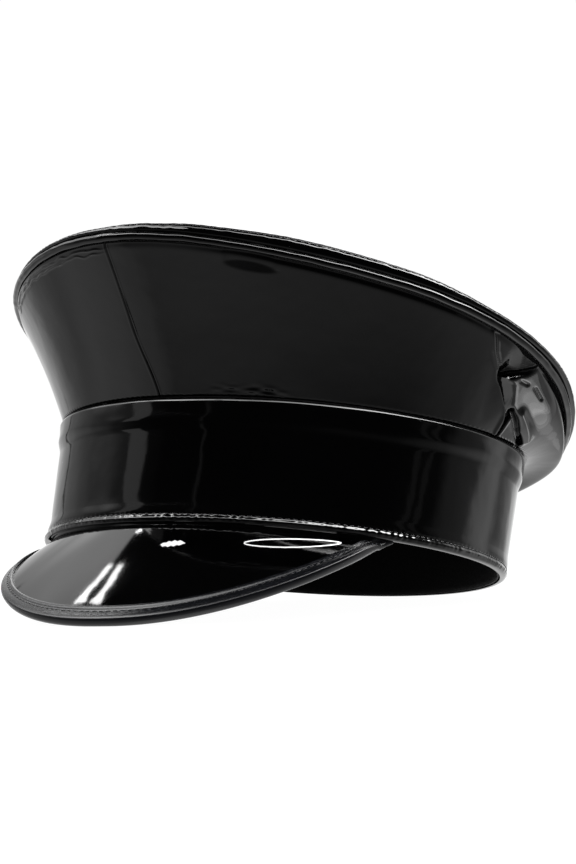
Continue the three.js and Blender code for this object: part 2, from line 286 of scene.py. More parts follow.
def patterned(name, place, patterns, colours, roughness, bumps=(), **gloss):
    """A material that follows patterns, each a kind of texture with its inputs. Its colours, its roughness
    and each bump name their pattern first. A bump has a strength, and a height in millimetres."""
    material = bpy.data.materials.new(name)
    material.use_nodes = True
    nodes, links = material.node_tree.nodes, material.node_tree.links
    shader = tuned(nodes["Principled BSDF"], **gloss)
    source = nodes.new("ShaderNodeUVMap" if place == "UV" else "ShaderNodeTexCoord")
    if place == "UV":
        source.uv_map = "cloth"
    shown = {}
    for pattern, (kind, inputs) in patterns.items():
        texture = tuned(nodes.new("ShaderNodeTex" + kind), **inputs)
        links.new(source.outputs[place], texture.inputs["Vector"])
        shown[pattern] = texture.outputs["Distance" if kind == "Voronoi" else "Fac"]
    pattern, *ends = colours
    blend = nodes.new("ShaderNodeValToRGB")
    for element, colour in zip(blend.color_ramp.elements, ends):
        element.color = (*colour, 1)
    links.new(shown[pattern], blend.inputs["Fac"])
    links.new(blend.outputs["Color"], shader.inputs["Base Color"])
    pattern, limits = roughness
    spread = tuned(nodes.new("ShaderNodeMapRange"), **limits)
    links.new(shown[pattern], spread.inputs["Value"])
    links.new(spread.outputs["Result"], shader.inputs["Roughness"])
    relief = None
    for pattern, strength, height in bumps:
        bump = tuned(nodes.new("ShaderNodeBump"), Strength=strength, Distance=abs(height) * MM)
        bump.invert = height < 0
        links.new(shown[pattern], bump.inputs["Height"])
        if relief:
            links.new(relief, bump.inputs["Normal"])
        relief = bump.outputs["Normal"]
    if relief:
        links.new(relief, shader.inputs["Normal"])
    return material


def patent_vinyl(name, ripple, peel):
    """Black polyurethane patent coating on cloth: nearly a black mirror. Slow ripples of the cloth below and
    a fine orange peel break up what it mirrors, and faint handling marks change how sharp it is."""
    patterns = {
        "marks": ("Noise", {"Scale": 38.0, "Detail": 5.0, "Roughness": 0.6}),
        "slow": ("Noise", {"Scale": 55.0, "Detail": 2.0, "Roughness": 0.45}),
        "fine": ("Noise", {"Scale": 900.0, "Detail": 2.0, "Roughness": 0.5}),
    }
    colours = "marks", (0.0003, 0.0003, 0.00035), (0.0012, 0.0012, 0.0014)
    roughness = "marks", {"From_Min": 0.35, "From_Max": 0.7, "To_Min": 0.045, "To_Max": 0.085}
    bumps = [("slow", 1.0, ripple), ("fine", 1.0, peel)]
    return patterned(name, "Object", patterns, colours, roughness, bumps, IOR=1.5, Metallic=0.0)


def knitted_backing():
    """The dull side of patent vinyl: a fine black knit, bonded to the back of the coating."""
    patterns = {
        "ribs": ("Wave", {"Scale": 420.0, "Distortion": 2.0, "Detail": 1.0}),
        "fuzz": ("Noise", {"Scale": 1500.0, "Detail": 3.0}),
    }
    colours = "fuzz", (0.0015, 0.0015, 0.0017), (0.0055, 0.0055, 0.0060)
    roughness = "ribs", {"To_Min": 0.75, "To_Max": 0.95}
    bumps = [("ribs", 0.6, 0.12)]
    return patterned("knitted_backing", "UV", patterns, colours, roughness, bumps, Specular_IOR_Level=0.2)


def finish_piece(piece, materials, slot, *nodes):
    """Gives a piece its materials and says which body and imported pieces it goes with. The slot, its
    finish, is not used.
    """
    for material in materials:
        piece.data.materials.append(material)
    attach(piece, "root")
    if nodes:
        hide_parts(*nodes)


backing = knitted_backing()
band_vinyl = patent_vinyl("band_vinyl", 0.25, 0.006)
finish_piece(band_mesh(), [band_vinyl, backing], "patent_vinyl", "band")


# Sweatband
# A plain strip of dull leather inside the band, against the forehead. It is stitched to the band's lower
# edge, and its own edge shows just below the hem.
sweat = {"bottom": 0.5, "top": 30.0, "wall": 1.1, "clear_of_band": 0.3}


def sweatband_mesh():
    angle = full_turn(360)
    heights = np.linspace(sweat["bottom"], sweat["top"], 30)[None, :]
    rounding = 0.35 * (1 - np.minimum(1, (heights - sweat["bottom"]) / 0.8))
    rounding = rounding + 0.35 * (1 - np.minimum(1, (sweat["top"] - heights) / 0.8))
    face = -band_wall - sweat["clear_of_band"]
    ease = 0.12 * uneven(angle, 41, 8, 30) * smoothstep(8, 25, heights)
    outer = band_point(angle, heights, face - rounding + 0 * angle)
    inner = band_point(angle, heights, face - sweat["wall"] + rounding - 0.4 * np.abs(ease))
    return walled_loft("sweatband_strip", outer, inner, True)


def dull_leather():
    """Matt black leather with a fine pebble grain, a little shinier on the grain's tops."""
    patterns = {"pebbles": ("Voronoi", {"Scale": 900.0})}
    colours = "pebbles", (0.0040, 0.0040, 0.0040), (0.0012, 0.0012, 0.0012)
    roughness = "pebbles", {"To_Min": 0.45, "To_Max": 0.7}
    bumps = [("pebbles", 0.6, -0.08)]
    return patterned("dull_leather", "Object", patterns, colours, roughness, bumps, Specular_IOR_Level=0.25)


leather = dull_leather()
finish_piece(sweatband_mesh(), [leather, leather], "sweatband_leather", "sweatband")


# Crown sides
# Four panels of unlined patent vinyl, seamed at the centre front, the sides and the back. They are drawn
# tight in front by a high stiffened rim. Behind the side seams the cloth is slack, so it is pinched in at
# the seam under the rim and bags out over the back of the band.
rim = {
    "half_length": 134.1,
    "half_width": 103.5,
    "longer_ends": 1.7,
    "fuller_sides": 2.1,
    "narrower_front": 0.026,
    "forward": 0.2,
    "height": 74.2,
    "tilt": 11.6,
    "sides_raised": 2.7,
    "front_dropped": 1.3,
    "corners_dropped": 1.2,
}
crown_wall = {"thickness": 1.4, "at_rim": 0.8, "below_rim": 0.5, "above_band": 0.3}
seam_half_gap = 0.07
quarter_columns = 320
quarter_rows = 110

# angle, then the length of the wall from the band up to the rim there
wall_lengths = np.array([
    (0, 63),
    (30, 58),
    (60, 47),
    (92, 37),
    (105, 27),
    (125, 23),
    (180, 28),
])

# angle, then how far the wall stands off a straight line at a third and at two thirds of its height:
# up and out at the lower one, up and out at the upper one
crown_folds = np.array([
    (0, 0, -2.4, 0, -2.4),
    (60, 0, -2, 0, -2),
    (82, 0, -1, 0, -2.5),
    (91, 0.5, 1, -0.5, 0),
    (106, 2, 4, -2, 8),
    (128, 2, 6, -5, 10),
    (152, 2, 3, -9, 5),
    (180, 1.5, 2, -12, 5),
])

# the line along which the side seam is pinched in: its angle, the share of the way up, how deep it lies,
# and how far away the cloth starts to slope in to it, in front and behind
pinched_line = np.array([
    (91.6, 0.00, 0.0, 1.2, 1.2),
    (91.6, 0.18, 1.6, 1.2, 1.5),
    (90.8, 0.33, 3.4, 1.3, 2.2),
    (88.8, 0.46, 5.0, 1.3, 2.8),
    (86.6, 0.58, 5.2, 1.4, 3.0),
    (84.9, 0.68, 5.0, 2.0, 2.4),
    (87.2, 0.76, 4.2, 5.0, 2.0),
    (90.8, 0.87, 3.0, 7.5, 1.8),
    (93.4, 1.00, 0.0, 7.5, 1.6),
])
rim_turn = np.array(Matrix.Rotation(-math.radians(rim["tilt"]), 3, "X"))
rim_up = np.array([0, 0, 1]) @ rim_turn.T

# the wall beside the side seam, laid flat: millimetres for a degree of angle, and its height
flat_wall = {"degree": 1.9, "height": 36.0}


def folded(angle):
    """The same place on either side of the hat, as an angle from 0 to 180."""
    return np.abs(turned_angle(angle))


def rim_out(angle):
    t = np.radians(angle)
    return unit(vectors(np.sin(t) / rim["half_width"], -np.cos(t) / rim["half_length"], 0)) @ rim_turn.T


def rim_point(angle, share=1.0):
    """The seam where the sides meet the crown top. At a smaller share the same oval lies further in."""
    t = np.radians(angle)
    oval = rim["half_width"] * np.sin(t) - rim["fuller_sides"] * np.sin(3 * t)
    across = oval * (1 - rim["narrower_front"] * np.cos(t))
    along = -rim["half_length"] * np.cos(t) - rim["longer_ends"] * np.cos(3 * t)
    saddle = rim["corners_dropped"] * np.cos(4 * t) - rim["front_dropped"] * np.cos(3 * t)
    saddle = saddle - rim["sides_raised"] * np.cos(2 * t)
    flat = vectors(across * share, along * share, saddle * share**2)
    return flat @ rim_turn.T + np.array([0, -rim["forward"], rim["height"]])


def on_wall(angle, share):
    """Flat coordinates of a place on the wall beside the side seam, in millimetres."""
    return np.asarray(angle) * flat_wall["degree"], np.asarray(share) * flat_wall["height"]


def seam_angle(share):
    """Where the side seam runs: along the pinched line, rounded at its corners."""
    around = np.linspace(-0.03, 0.03, 5)
    line_angle, line_share = pinched_line[:, 0], pinched_line[:, 1]
    return sum(np.interp(share + step, line_share, line_angle) for step in around) / len(around)


def pinch_depth(angle, share):
    """How far the cloth is pinched in at a place, by its distance from the pinched line."""
    x, y = on_wall(angle, share)
    line_share = np.linspace(0, 1, 90)
    line_x, line_y = on_wall(seam_angle(line_share), line_share)
    nearest = np.full(x.shape, np.inf)
    at = np.zeros(x.shape)
    for step, (px, py) in enumerate(zip(line_x, line_y)):
        gap = (x - px) ** 2 + (y - py) ** 2
        at = np.where(gap < nearest, line_share[step], at)
        nearest = np.minimum(nearest, gap)
    depth, in_front, behind = (np.interp(at, pinched_line[:, 1], pinched_line[:, k]) for k in (2, 3, 4))
    reach = np.where(angle < seam_angle(share), in_front, behind)
    return depth * np.exp(-nearest / reach**2)


def crown_form(angle, share):
    """The main form of the sides, from the band seam at share 0 to the rim at 1."""
    angle, share = np.broadcast_arrays(np.asarray(angle, float), np.asarray(share, float))
    fold = eased(crown_folds, folded(angle))
    low = band_point(angle, np.full(angle.shape, band_top["height"]))
    low = low + np.array([0, 0, crown_wall["above_band"]])
    high = rim_point(angle) - rim_up * crown_wall["below_rim"]
    up = np.array([0, 0, 1])
    low_handle = low + (high - low) / 3 + outward(angle) * fold[..., 1:2] + up * fold[..., 0:1]
    high_handle = low + (high - low) * 2 / 3 + rim_out(angle) * fold[..., 3:4] + rim_up * fold[..., 2:3]
    s, r = share[..., None], 1 - share[..., None]
    curve = low * r**3 + 3 * low_handle * s * r**2 + 3 * high_handle * s**2 * r + high * s**3
    return curve - outward(angle) * pinch_depth(folded(angle), share)[..., None]


# creases of the pinched side seam and the pouch behind it: points of angle and share up the wall, how far
# the cloth stands out there, and how wide
creases = [
    ([(78.4, 0.98), (80.2, 0.84), (83.0, 0.70)], 0.5, 0.8),
    ([(79.8, 0.98), (81.6, 0.84), (84.2, 0.71)], -0.7, 0.9),
    ([(89.6, 0.36), (90.4, 0.26), (89.6, 0.03)], 0.5, 1.5),
    ([(92.3, 0.36), (92.0, 0.25), (91.2, 0.03)], -1.6, 0.9),
    ([(92.3, 0.36), (95.4, 0.26), (99, 0.14), (105, 0.04)], -2.4, 1.1),
    ([(95.4, 0.38), (99.4, 0.28), (105, 0.16)], 1.4, 2.6),
    ([(90.5, 0.72), (93, 0.74)], -0.5, 0.7),
    ([(95.5, 0.76), (98.5, 0.7)], -0.6, 0.7),
]


def crease_depth(angle, share):
    """How far all the creases push the cloth out, in millimetres."""
    x, y = on_wall(folded(angle), share)
    total = np.zeros(np.broadcast(x, y).shape)
    for path, depth, width in creases:
        nearest = np.full(total.shape, np.inf)
        points = [on_wall(*place) for place in path]
        for (x0, y0), (x1, y1) in zip(points[:-1], points[1:]):
            length = (x1 - x0) ** 2 + (y1 - y0) ** 2
            along = np.clip(((x - x0) * (x1 - x0) + (y - y0) * (y1 - y0)) / length, 0, 1)
            gap = (x - x0 - along * (x1 - x0)) ** 2 + (y - y0 - along * (y1 - y0)) ** 2
            nearest = np.minimum(nearest, gap)
        total = total + depth * np.exp(-nearest / width**2)
    return total


def crown_normal(angle, share):
    along = crown_form(angle + 0.3, share) - crown_form(angle - 0.3, share)
    up = crown_form(angle, share + 0.006) - crown_form(angle, share - 0.006)
    return unit(np.cross(along, up))


def seam_roll(distance):
    """The turned edge of a panel beside its seam: it dips into the seam after a slight swell."""
    return 0.05 * hump(distance, 0.8, 0.4) - 0.4 * hump(distance, 0, 0.25)


def crown_relief(angle, share, start, end):
    """The finer shape of a panel between the seams at its start and end angles, in millimetres outwards."""
    length = eased(wall_lengths, folded(angle))[..., 0]
    height = share * length
    under_rim = length - height
    front = turned_angle(angle)
    arc = np.radians(angle) * (band_top["half_length"] + band_top["half_width"]) / 2
    relief = crease_depth(angle, share)
    for from_seam in (angle - start, end - angle):
        relief = relief + seam_roll(from_seam * flat_wall["degree"])
    # the stitched edge at the band puckers a little at every stitch, and more where it was eased in
    relief = relief - 0.8 * hump(height, 0, 0.7)
    relief = relief + 0.09 * hump(height, 0.9, 0.6) * np.cos(2 * np.pi * arc / stitch_spacing)
    eased_in = within(front, 15, 31, 4) * hump(height, 3.2, 2.0)
    relief = relief + 0.13 * eased_in * wrinkled(angle, height, 53, (30, 80), (2.4, 5))
    # the edge at the rim turns in to its seam, with two fine gathers left of the front seam
    relief = relief - (0.35 + 0.5 * within(front, 25, 75, 12)) * hump(under_rim, 0, 1.3)
    for depth, seed in ((1.5, 61), (3.1, 62)):
        gather = hump(under_rim, depth + 0.4 * uneven(angle, seed, 20, 90), 0.33)
        relief = relief + 0.34 * within(front, -52, -4, 3) * gather
    # right of the front seam the cloth tips back a little over an oval patch under the rim
    patch = 1.8 * np.sqrt(np.maximum(1 - ((front - 29) / 5.0) ** 2, 0))
    relief = relief - 0.3 * np.clip(5.0 + patch - under_rim, 0, 2 * patch)
    # and the slack cloth waves slowly
    slack = 0.1 + 0.25 * smoothstep(60, 120, folded(angle))
    return relief + slack * uneven(angle + share * 9, 51, 4, 14) * smoothstep(0, 0.25, share)


def crown_quarter(name, start, end):
    """One panel between two seams, each given as its angles at shares of the way up."""
    even = np.linspace(0, 1, quarter_columns)
    packed_at_seams = even - 0.75 * np.sin(2 * np.pi * even) / (2 * np.pi)
    steps = np.linspace(0, 1, quarter_rows)
    share = (steps - 0.72 * np.sin(2 * np.pi * steps) / (2 * np.pi))[None, :]
    start, end = start(share) + seam_half_gap, end(share) - seam_half_gap
    angle = start + (end - start) * packed_at_seams[:, None]
    form = crown_form(angle, share)
    normal = crown_normal(angle, share)
    relief = crown_relief(angle, share, start, end)[..., None]
    thickness = crown_wall["thickness"] + (crown_wall["at_rim"] - crown_wall["thickness"]) * share**6
    outer = form + normal * relief
    inner = form[:, ::3] + normal[:, ::3] * (relief - thickness[..., None])[:, ::3]
    return walled_loft(name, outer, inner, False)


def front_seam(share):
    """The centre front seam leans a little to the left as it rises."""
    return -2.1 * smoothstep(0, 0.5, share)


def back_seam(share):
    return 180 + 0 * share


def far_side_seam(share):
    return 360 - seam_angle(share)


def front_seam_again(share):
    """The centre front seam, reached once round the hat."""
    return 360 + front_seam(share)


crown_vinyl = patent_vinyl("crown_vinyl", 0.35, 0.006)
seams = [front_seam, seam_angle, back_seam, far_side_seam, front_seam_again]
quarters = ["crown_front_right", "crown_back_right", "crown_back_left", "crown_front_left"]
for node, start, end in zip(quarters, seams[:-1], seams[1:]):
    finish_piece(crown_quarter(node + "_panel", start, end), [crown_vinyl, backing], "patent_vinyl", node)


# Piping
# A cord wrapped in a bias strip of the same vinyl, caught in the seam between the sides and the top.
piping = {"radius": 1.6, "out": 0.3, "up": 1.9, "sides": 28}

# angle, then how far the piping and the crown top's edge hang out beyond the seam
rim_lean = np.array([
    (0, 0, 0),
    (76, 0, 0),
    (106, 1.4, 2.9),
    (180, 1.4, 2.4),
])


def piping_mesh():
    angle = full_turn(720)
    lean = eased(rim_lean, folded(angle))[..., 0]
    turn = np.linspace(0, 2 * np.pi, piping["sides"], endpoint=False)[None, :]
    radius = piping["radius"] * (1 + 0.03 * uneven(angle, 71, 30, 120))
    out = piping["out"] + lean + radius * np.cos(turn)
    up = piping["up"] + radius * np.sin(turn) + 0.12 * uneven(angle, 72, 10, 60)
    sections = rim_point(angle) + rim_out(angle) * out[..., None] + rim_up * up[..., None]
    return loft("piping_cord", sections, True, piping["sides"])


piping_vinyl = patent_vinyl("piping_vinyl", 0.12, 0.006)
finish_piece(piping_mesh(), [piping_vinyl], "patent_vinyl", "crown_piping")


# Crown top
# One oval panel over a stiff hoop. Its edge is turned down over the hoop to the piping and topstitched
# just below the crest.
top_wall = 2.0
top_stitch = {"out": 1.12, "up": 5.78}

# out of the rim line, and up from it, over the turned-down edge
top_edge = np.array([
    (0.75, 3.75),
    (1.35, 4.2),
    (1.55, 4.9),
    (1.5, 5.35),
    (1.2, 5.75),
    (1.22, 5.98),
    (0.95, 6.25),
    (0.4, 6.56),
    (-0.4, 6.95),
    (-1.3, 7.24),
    (-2.3, 7.42),
    (-3.6, 7.46),
    (-7.0, 7.05),
])

# share of the way in to the centre, and up from the rim line
top_dome = np.array([
    (0.12, 7.5),
    (0.2, 8.4),
    (0.3, 9.4),
    (0.4, 10.2),
    (0.55, 11.2),
    (0.7, 11.8),
    (0.85, 12.1),
    (1.0, 12.2),
])


def spline(rows, steps):
    """Points of a smooth curve through rows, with so many steps between each two."""
    padded = np.concatenate([2 * rows[:1] - rows[1:2], rows, 2 * rows[-1:] - rows[-2:-1]])
    share = np.linspace(0, 1, steps, endpoint=False)[:, None]
    runs = []
    for p0, p1, p2, p3 in zip(padded[:-3], padded[1:-2], padded[2:-1], padded[3:]):
        slope = 2 * p1 + (p2 - p0) * share
        bend = (2 * p0 - 5 * p1 + 4 * p2 - p3) * share**2 + (3 * p1 - p0 - 3 * p2 + p3) * share**3
        runs.append((slope + bend) / 2)
    return np.concatenate([*runs, rows[-1:]])


# angle, then how much higher and further out the crest stands there than elsewhere
crest_lift = np.array([
    (-180, 0, 0),
    (-95, 0, 0),
    (-62, -0.3, -0.9),
    (-38, -0.8, -0.6),
    (-20, -0.8, -0.1),
    (-5, -0.4, 0),
    (8, 0.6, 0),
    (20, 1.5, 0),
    (38, 2.5, 0),
    (58, 2.0, 0),
    (78, 0.4, 0),
    (96, 0, 0),
    (180, 0, 0),
])


def top_edge_point(angle, out, up):
    """A place on the turned-down edge, stretched above the piping where the crest stands off its table."""
    up = np.asarray(up)
    shift = eased(crest_lift, turned_angle(angle))
    stretch = smoothstep(3.5, 6.5, up)
    outwards = out + eased(rim_lean, folded(angle))[..., 1] + shift[..., 1] * stretch
    upwards = up + shift[..., 0] * stretch
    return rim_point(angle) + rim_out(angle) * outwards[..., None] + rim_up * upwards[..., None]


def top_dome_point(angle, inwards, up):
    lift = eased(crest_lift, turned_angle(angle))[..., 0] * (1 - inwards) ** 2
    return rim_point(angle, 1 - inwards) + rim_up * (up + lift)[..., None]


def crown_top_mesh():
    angle = full_turn(1300)
    edge_out, edge_up = spline(top_edge, 4).T[:, None, :]
    inwards, dome_up = spline(top_dome, 6).T[:, None, :]
    crinkle = wrinkled(angle, edge_up, 82, (90, 260), (1.5, 4)) * smoothstep(5.9, 6.6, edge_up)
    wobble = 0.1 * uneven(angle, 81, 40, 160) * hump(edge_up, 5.9, 0.9) + 0.07 * crinkle
    outer_edge = top_edge_point(angle, edge_out + wobble, edge_up + 0 * angle)
    t = np.radians(angle)
    sideways, ahead = (1 - inwards) * np.sin(t), (1 - inwards) * np.cos(t)
    swell = 0.5 * np.sin(3.6 * sideways + 1.3 * ahead + 0.7) * np.cos(3.1 * ahead - 1.1 * sideways)
    outer_dome = top_dome_point(angle, inwards, dome_up + swell * smoothstep(0, 0.35, inwards))
    inner_foot = top_edge[0, 0] - top_wall
    foot_out, foot_up = np.array([(inner_foot, 3.75), (inner_foot, 4.75), (-3.0, 5.4)]).T[:, None, :]
    inner_edge = top_edge_point(angle, foot_out + 0 * angle, foot_up + 0 * angle)
    inwards, dome_up = top_dome.T[:, None, :]
    inner_dome = top_dome_point(angle, inwards, dome_up - top_wall + 0 * angle)
    outer = np.concatenate([outer_edge, outer_dome], axis=1)
    inner = np.concatenate([inner_edge, inner_dome], axis=1)
    piece = walled_loft("crown_top_panel", outer, inner, True)
    close_poles(piece)
    return piece


def close_poles(piece):
    """Joins the points that meet at a panel's centre into one."""
    work = bmesh.new()
    work.from_mesh(piece.data)
    bmesh.ops.remove_doubles(work, verts=work.verts, dist=0.002 * MM)
    bmesh.ops.dissolve_degenerate(work, edges=work.edges, dist=0.001 * MM)
    work.to_mesh(piece.data)
    work.free()


top_vinyl = patent_vinyl("top_vinyl", 0.15, 0.006)
finish_piece(crown_top_mesh(), [top_vinyl, backing], "patent_vinyl", "crown_top")


# Peak
# A stiff moulded sheet, covered in patent vinyl on top and below, sewn in behind the band's hem. It falls
# steeply in front and turns in to nothing at both ends.
peak = {
    "half_angle": 59.5,
    "depth": 47.2,
    "slope_front": 60.0,
    "slope_ends": 35.6,
    "forward_pull": 0.664,
    "outline_power": 2.307,
    "outline_fall": 1.047,
    "wall": 2.2,
    "bow": 1.5,
    "inset": 1.5,
    "drop_front": 2.2,
    "drop_ends": 2.9,
    "runs_past": 0.065,
    "rise_past": 45.0,
    "tuck": 1.3,
    "allowance": 4.5,
    "allowance_bend": 0.7,
}
tape = {"wall": 0.9, "leg": 7.0, "clear": 0.3}


def past_end(across):
    """How far a place across the peak lies past its end, where its edge runs on up behind the hem."""
    return np.maximum(np.abs(across) - 1, 0)


def peak_inner(across):
    past = past_end(across)
    tucked = peak["inset"] + 0.2 * peak["tuck"] * (1 - np.exp(-past * 50))
    line = band_point(across * peak["half_angle"], 0 * across, -tucked)
    drop = peak["drop_front"] + (peak["drop_ends"] - peak["drop_front"]) * np.clip(across, -1, 1) ** 4
    line[..., 2] = peak["rise_past"] * past - drop
    return line


def peak_outer(across):
    past = past_end(across)
    inside = np.clip(np.abs(across), 0, 1)
    t = np.radians(across * peak["half_angle"])
    width = peak["depth"] * (1 - inside ** peak["outline_power"]) ** peak["outline_fall"]
    slope = np.radians(peak["slope_front"] + (peak["slope_ends"] - peak["slope_front"]) * inside**2)
    sideways = peak["forward_pull"] * np.sin(t) / opening["half_width"]
    heading = unit(vectors(sideways, -np.cos(t) / opening["half_length"], 0))
    tucked = peak["tuck"] * (1 - np.exp(-past * 50))
    line = band_point(across * peak["half_angle"], 0 * across, -tucked)
    line = line + heading * (width * np.cos(slope))[..., None]
    drop = width * np.sin(slope) + peak["drop_ends"] * (1 - width / peak["depth"])
    line[..., 2] = peak["rise_past"] * past - drop
    return line


def peak_length(across):
    return np.linalg.norm(peak_outer(across) - peak_inner(across), axis=-1)


def peak_point(across, back):
    """The peak's middle surface, so far back from its edge. Behind its inner line it turns up, as the
    allowance that is sewn in behind the hem."""
    across, back = np.broadcast_arrays(np.asarray(across, float), np.asarray(back, float))
    inner, outer = peak_inner(across), peak_outer(across)
    way = outer - inner
    length = np.linalg.norm(way, axis=-1)
    share = np.maximum(1 - back / length, 0)
    level = np.linalg.norm(way[..., :2], axis=-1, keepdims=True)
    ahead = np.concatenate([way[..., :2] / level, 0 * level], axis=-1)
    lift = unit(np.concatenate([0 * way[..., :2], level], axis=-1) - ahead * way[..., 2:])
    bow = peak["bow"] * length / peak["depth"] * 4 * share * (1 - share)
    sheet = inner + way * share[..., None] + lift * bow[..., None]
    behind = np.maximum(back - length, 0)
    bend = peak["allowance_bend"]
    inwards = bend * (1 - np.exp(-behind / bend))
    return sheet - unit(way) * inwards[..., None] + np.array([0, 0, 1]) * (behind - inwards)[..., None]


def peak_normal(across, back):
    along = peak_point(across + 0.004, back) - peak_point(across - 0.004, back)
    out = peak_point(across, back - 0.15) - peak_point(across, back + 0.15)
    return unit(np.cross(out, along))


def peak_thinned(across, back):
    """The share of its full thickness that the peak keeps: it is skived where it is sewn in."""
    at_ends = 1 - 0.45 * smoothstep(0.88, 1.02, np.abs(across))
    behind_hem = 1 - 0.45 * smoothstep(0, 2.0, back - peak_length(across))
    return at_ends * behind_hem


def peak_places(count):
    """Places across the peak, closer together at its ends, where it turns in."""
    even = np.linspace(-1, 1, count)
    return ((1 + peak["runs_past"]) * np.sin(even * np.pi / 2))[:, None]


def peak_mesh():
    across = peak_places(360)
    from_edge = tape["wall"] + tape["clear"]
    depth = peak_length(across) + peak["allowance"]
    back = from_edge + (depth - from_edge) * np.linspace(1, 0, 70)[None, :]
    middle = peak_point(across, back)
    half = peak_normal(across, back) * (peak["wall"] / 2 * peak_thinned(across, back))[..., None]
    return walled_loft("peak_sheet", middle + half, middle - half, False)


peak_vinyl = patent_vinyl("peak_vinyl", 0.03, 0.004)
finish_piece(peak_mesh(), [peak_vinyl, peak_vinyl], "patent_vinyl", "peak")


# Peak binding
# A satin tape folded over the peak's edge and sewn through with one row of stitches.
stitch_back = 4.6
binding_stitch_spacing = 2.9
binding_stitch_sunk = 0.25


def binding_mesh():
    across = peak_places(520)
    inside = peak["wall"] / 2 + tape["clear"]
    outside = inside + tape["wall"]

    def turned(start, reach, height):
        """Back from the edge and up from the middle surface, over the fold and back below."""
        quarter = np.linspace(0, np.pi / 2, 8)
        top = [(1.0, -0.25), (0.97, 0), (0.85, 0), (0.7, 0), (0.58, 0), (0.45, 0), (0.25, 0)]
        legs = [(share * (tape["leg"] - reach) + reach, height + up) for share, up in top]
        nose = [(reach - (reach - start) * np.sin(q), height * np.cos(q)) for q in quarter]
        half = legs + nose
        return half + [(back, -up) for back, up in half[-2::-1]]

    def laid(rows):
        back, up = np.array(rows).T[:, None, :]
        rise = up * peak_thinned(across, back)
        sewn_down = 0.28 * hump(back, stitch_back, 0.8) * np.sign(up) * (np.abs(up) > inside)
        return peak_point(across, back) + peak_normal(across, back) * (rise - sewn_down)[..., None]

    outer = laid(turned(0.0, 1.5, outside))
    inner = laid(turned(tape["wall"], 1.7, inside))
    return walled_loft("binding_tape", outer, inner, False)


def satin_tape():
    """Black satin with a slate bloom: fine ribs across the tape that catch the light softly."""
    patterns = {
        "ribs": ("Wave", {"Scale": 650.0, "Distortion": 1.5, "Detail": 2.0}),
        "patches": ("Noise", {"Scale": 60.0, "Detail": 4.0}),
    }
    colours = "patches", (0.0045, 0.0047, 0.0060), (0.0095, 0.0100, 0.0125)
    roughness = "ribs", {"To_Min": 0.13, "To_Max": 0.24}
    sheen = {"Specular_IOR_Level": 0.3, "Sheen_Weight": 0.05, "Sheen_Roughness": 0.4}
    return patterned("satin_tape", "UV", patterns, colours, roughness, [("ribs", 0.5, 0.03)], **sheen)


satin = satin_tape()
finish_piece(binding_mesh(), [satin, satin], "satin_binding", "peak_binding")


# Stitches
# Rows of lockstitch in black polyester thread: round the hem, round the crown top's edge, and along the
# binding. Each stitch is a short raised length of thread.
def stitch_tree(thread):
    tree = bpy.data.node_groups.new("stitch_row", "GeometryNodeTree")
    kinds = {"Geometry": "Geometry", "Spacing": "Float", "Length": "Float", "Thickness": "Float"}
    kinds["Seed"] = "Int"
    for name, kind in kinds.items():
        tree.interface.new_socket(name, in_out="INPUT", socket_type="NodeSocket" + kind)
    tree.interface.new_socket("Geometry", in_out="OUTPUT", socket_type="NodeSocketGeometry")
    nodes = tree.nodes
    given, made = nodes.new("NodeGroupInput"), nodes.new("NodeGroupOutput")
    line = nodes.new("GeometryNodeMeshToCurve")
    spaced = nodes.new("GeometryNodeResampleCurve")
    spaced.mode = "LENGTH"
    bead = tuned(nodes.new("GeometryNodeMeshUVSphere"), Segments=10, Rings=6, Radius=0.5)
    size = nodes.new("ShaderNodeCombineXYZ")
    stitch = nodes.new("GeometryNodeTransform")
    cloth = tuned(nodes.new("GeometryNodeInputNamedAttribute"), Name="cloth_normal")
    cloth.data_type = "FLOAT_VECTOR"
    tangent = nodes.new("GeometryNodeInputTangent")
    lying = nodes.new("FunctionNodeAxesToRotation")
    lying.primary_axis = "Z"
    lying.secondary_axis = "X"
    varied = nodes.new("FunctionNodeRandomValue")
    varied.data_type = "FLOAT_VECTOR"
    tuned(varied, Min=(0.9, 0.9, 0.85), Max=(1.1, 1.1, 1.1))
    placed = nodes.new("GeometryNodeInstanceOnPoints")
    real = nodes.new("GeometryNodeRealizeInstances")
    smooth = nodes.new("GeometryNodeSetShadeSmooth")
    coloured = tuned(nodes.new("GeometryNodeSetMaterial"), Material=thread)
    for source, output, target, socket in [
        (given, "Geometry", line, "Mesh"),
        (line, "Curve", spaced, "Curve"),
        (given, "Spacing", spaced, "Length"),
        (given, "Length", size, "X"),
        (given, "Thickness", size, "Y"),
        (given, "Thickness", size, "Z"),
        (bead, "Mesh", stitch, "Geometry"),
        (size, "Vector", stitch, "Scale"),
        (cloth, "Attribute", lying, "Primary Axis"),
        (tangent, "Tangent", lying, "Secondary Axis"),
        (given, "Seed", varied, "Seed"),
        (spaced, "Curve", placed, "Points"),
        (stitch, "Geometry", placed, "Instance"),
        (lying, "Rotation", placed, "Rotation"),
        (varied, "Value", placed, "Scale"),
        (placed, "Instances", real, "Geometry"),
        (real, "Geometry", smooth, "Geometry"),
        (smooth, "Geometry", coloured, "Geometry"),
        (coloured, "Geometry", made, "Geometry"),
    ]:
        tree.links.new(source.outputs[output], target.inputs[socket])
    return tree


def sewing_thread():
    """Black polyester thread with a soft sheen and a fine twist."""
    patterns = {"twist": ("Noise", {"Scale": 4000.0, "Detail": 2.0})}
    colours = "twist", (0.004, 0.004, 0.005), (0.020, 0.020, 0.022)
    roughness = "twist", {"To_Min": 0.3, "To_Max": 0.5}
    return patterned("sewing_thread", "Object", patterns, colours, roughness)


thread = sewing_thread()
stitching = stitch_tree(thread)
stitch = {"Length": 2.2, "Thickness": 0.5}


